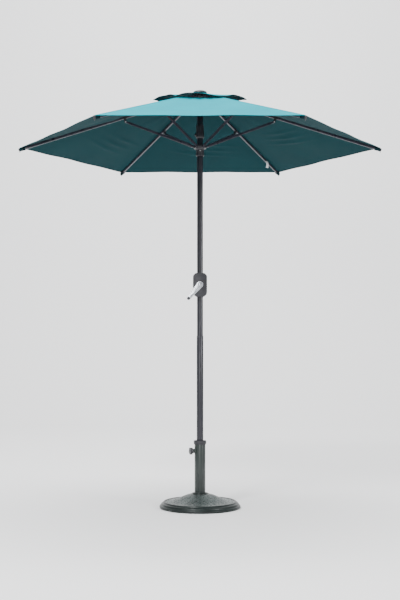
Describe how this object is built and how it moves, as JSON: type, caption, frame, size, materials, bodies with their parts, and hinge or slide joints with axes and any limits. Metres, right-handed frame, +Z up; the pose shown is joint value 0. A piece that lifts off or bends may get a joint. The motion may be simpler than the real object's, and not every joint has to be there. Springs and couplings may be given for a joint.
{
  "type": "patio umbrella with base",
  "caption": "Hexagonal vented garden parasol on a two-piece crank pole, set in a domed round base with a clamp knob.",
  "frame": {"origin": "centre of the base's footprint, on the ground", "axes": "+Z up the pole's axis; -Y out of the crank's face; +X towards the corner of the canopy over the first rib, to the right of someone who faces the crank"},
  "size_m": [2.184, 1.8956, 2.4957],
  "materials": {
    "bronze_resin": "glossy dark bronze green paint over cast stone and resin, basket weave relief",
    "base_tube_paint": "glossy dark bronze green powder coat",
    "pole_paint": "glossy near-black blue powder coat",
    "frame_paint": "semi-gloss near-black powder coat",
    "black_plastic": "satin black moulded plastic",
    "zinc_steel": "bright zinc plate",
    "silver_crank": "cast and polished, slightly satin",
    "turquoise_cloth": "matt plain-weave polyester, turquoise"
  },
  "bodies": {
    "base": {"base_plate": "bronze_resin", "base_tube": "base_tube_paint", "pole_reducer": "black_plastic", "tube_bolt": "zinc_steel", "tube_washer": "zinc_steel"},
    "clamp_screw": {"clamp_screw": "zinc_steel"},
    "clamp_knob": {"clamp_knob": "black_plastic"},
    "lower_pole": {"lower_pole": "pole_paint", "pole_foot_cap": "black_plastic"},
    "upper_pole": {"upper_pole": "pole_paint", "crank_housing_front": "black_plastic", "crank_housing_rear": "black_plastic", "housing_screw_1": "zinc_steel", "housing_screw_2": "zinc_steel", "tilt_sleeve": "black_plastic", "crown": "black_plastic", "crown_wire": "zinc_steel", "top_cap": "black_plastic"},
    "tilt_button": {"tilt_button": "black_plastic"},
    "crank": {"crank_arm": "silver_crank", "cord_reel": "silver_crank"},
    "crank_grip": {"crank_grip": "black_plastic"},
    "rib_1": {"rib_1": "frame_paint", "rib_tip_1": "black_plastic", "canopy_1": "turquoise_cloth", "vent_1": "turquoise_cloth"},
    "strut_1": {"strut_1": "frame_paint"},
    "rib_2": {"rib_2": "frame_paint", "rib_tip_2": "black_plastic", "canopy_2": "turquoise_cloth", "vent_2": "turquoise_cloth"},
    "strut_2": {"strut_2": "frame_paint"},
    "rib_3": {"rib_3": "frame_paint", "rib_tip_3": "black_plastic", "canopy_3": "turquoise_cloth", "vent_3": "turquoise_cloth"},
    "strut_3": {"strut_3": "frame_paint"},
    "rib_4": {"rib_4": "frame_paint", "rib_tip_4": "black_plastic", "canopy_4": "turquoise_cloth", "vent_4": "turquoise_cloth"},
    "strut_4": {"strut_4": "frame_paint"},
    "rib_5": {"rib_5": "frame_paint", "rib_tip_5": "black_plastic", "canopy_5": "turquoise_cloth", "vent_5": "turquoise_cloth"},
    "strut_5": {"strut_5": "frame_paint"},
    "rib_6": {"rib_6": "frame_paint", "rib_tip_6": "black_plastic", "canopy_6": "turquoise_cloth", "vent_6": "turquoise_cloth"},
    "strut_6": {"strut_6": "frame_paint"},
    "runner": {"runner": "black_plastic", "runner_wire": "zinc_steel", "runner_screw": "zinc_steel"}
  },
  "joints": [
    {"name": "pole_lift", "type": "slide", "parent": "base", "child": "lower_pole", "axis": [0, 0, 1], "range_m": [0, 0.36]},
    {"name": "upper_pole_lift", "type": "slide", "parent": "lower_pole", "child": "upper_pole", "axis": [0, 0, 1], "range_m": [0, 0.11]},
    {"name": "canopy_fold", "type": "hinge", "parent": "upper_pole", "child": "rib_1", "pos_m": [0.032, 0, 2.46], "axis": [0, 1, 0], "range_deg": [0, 66.8], "deforming": ["canopy_1", "canopy_2", "canopy_3", "canopy_4", "canopy_5", "canopy_6", "vent_1", "vent_2", "vent_3", "vent_4", "vent_5", "vent_6"]},
    {"name": "rib_2_fold", "type": "hinge", "parent": "upper_pole", "child": "rib_2", "pos_m": [0.016, 0.02771, 2.46], "axis": [-0.866, 0.5, 0], "range_deg": [0, 66.9]},
    {"name": "rib_3_fold", "type": "hinge", "parent": "upper_pole", "child": "rib_3", "pos_m": [-0.016, 0.02771, 2.46], "axis": [-0.866, -0.5, 0], "range_deg": [0, 66.9]},
    {"name": "rib_4_fold", "type": "hinge", "parent": "upper_pole", "child": "rib_4", "pos_m": [-0.032, 0, 2.46], "axis": [0, -1, 0], "range_deg": [0, 66.9]},
    {"name": "rib_5_fold", "type": "hinge", "parent": "upper_pole", "child": "rib_5", "pos_m": [-0.016, -0.02771, 2.46], "axis": [0.866, -0.5, 0], "range_deg": [0, 66.9]},
    {"name": "rib_6_fold", "type": "hinge", "parent": "upper_pole", "child": "rib_6", "pos_m": [0.016, -0.02771, 2.46], "axis": [0.866, 0.5, 0], "range_deg": [0, 66.9]},
    {"name": "strut_1_turn", "type": "hinge", "parent": "rib_1", "child": "strut_1", "pos_m": [0.447, 0, 2.30576], "axis": [0, -1, 0], "range_deg": [0, 133.8]},
    {"name": "strut_2_turn", "type": "hinge", "parent": "rib_2", "child": "strut_2", "pos_m": [0.2235, 0.38711, 2.30576], "axis": [0.866, -0.5, 0], "range_deg": [0, 133.8]},
    {"name": "strut_3_turn", "type": "hinge", "parent": "rib_3", "child": "strut_3", "pos_m": [-0.2235, 0.38711, 2.30576], "axis": [0.866, 0.5, 0], "range_deg": [0, 133.8]},
    {"name": "strut_4_turn", "type": "hinge", "parent": "rib_4", "child": "strut_4", "pos_m": [-0.447, 0, 2.30576], "axis": [0, 1, 0], "range_deg": [0, 133.8]},
    {"name": "strut_5_turn", "type": "hinge", "parent": "rib_5", "child": "strut_5", "pos_m": [-0.2235, -0.38711, 2.30576], "axis": [-0.866, 0.5, 0], "range_deg": [0, 133.8]},
    {"name": "strut_6_turn", "type": "hinge", "parent": "rib_6", "child": "strut_6", "pos_m": [0.2235, -0.38711, 2.30576], "axis": [-0.866, -0.5, 0], "range_deg": [0, 133.8]},
    {"name": "runner_level", "type": "hinge", "parent": "strut_1", "child": "runner", "pos_m": [0.032, 0, 2.15151], "axis": [0, 1, 0], "range_deg": [0, 66.9]},
    {"name": "crank_turn", "type": "hinge", "parent": "upper_pole", "child": "crank", "pos_m": [0, -0.058, 1.323], "axis": [0, -1, 0], "range_deg": [0, 2881]},
    {"name": "crank_grip_spin", "type": "hinge", "parent": "crank", "child": "crank_grip", "pos_m": [-0.06734, -0.058, 1.23985], "axis": [0, -1, 0], "continuous": true},
    {"name": "clamp_travel", "type": "slide", "parent": "base", "child": "clamp_screw", "axis": [-0.9397, -0.342, 0], "range_m": [0, 0.00251]},
    {"name": "clamp_knob_turn", "type": "hinge", "parent": "clamp_screw", "child": "clamp_knob", "pos_m": [-0.04652, -0.01693, 0.338], "axis": [-0.9397, -0.342, 0], "range_deg": [0, 720]},
    {"name": "tilt_button_press", "type": "slide", "parent": "upper_pole", "child": "tilt_button", "axis": [1, 0, 0], "range_m": [0, 0.004], "stiffness_N_per_m": 500, "springref_m": -0.004}
  ],
  "couplings": [
    {"joint": "rib_2_fold", "follows": "canopy_fold", "ratio": 1},
    {"joint": "rib_3_fold", "follows": "canopy_fold", "ratio": 1},
    {"joint": "rib_4_fold", "follows": "canopy_fold", "ratio": 1},
    {"joint": "rib_5_fold", "follows": "canopy_fold", "ratio": 1},
    {"joint": "rib_6_fold", "follows": "canopy_fold", "ratio": 1},
    {"joint": "strut_1_turn", "follows": "canopy_fold", "ratio": 2},
    {"joint": "strut_2_turn", "follows": "canopy_fold", "ratio": 2},
    {"joint": "strut_3_turn", "follows": "canopy_fold", "ratio": 2},
    {"joint": "strut_4_turn", "follows": "canopy_fold", "ratio": 2},
    {"joint": "strut_5_turn", "follows": "canopy_fold", "ratio": 2},
    {"joint": "strut_6_turn", "follows": "canopy_fold", "ratio": 2},
    {"joint": "runner_level", "follows": "canopy_fold", "ratio": 1},
    {"joint": "crank_turn", "follows": "canopy_fold", "ratio": 43.114},
    {"joint": "clamp_travel", "follows": "clamp_knob_turn", "m_per_rad": 0.00019894}
  ]
}
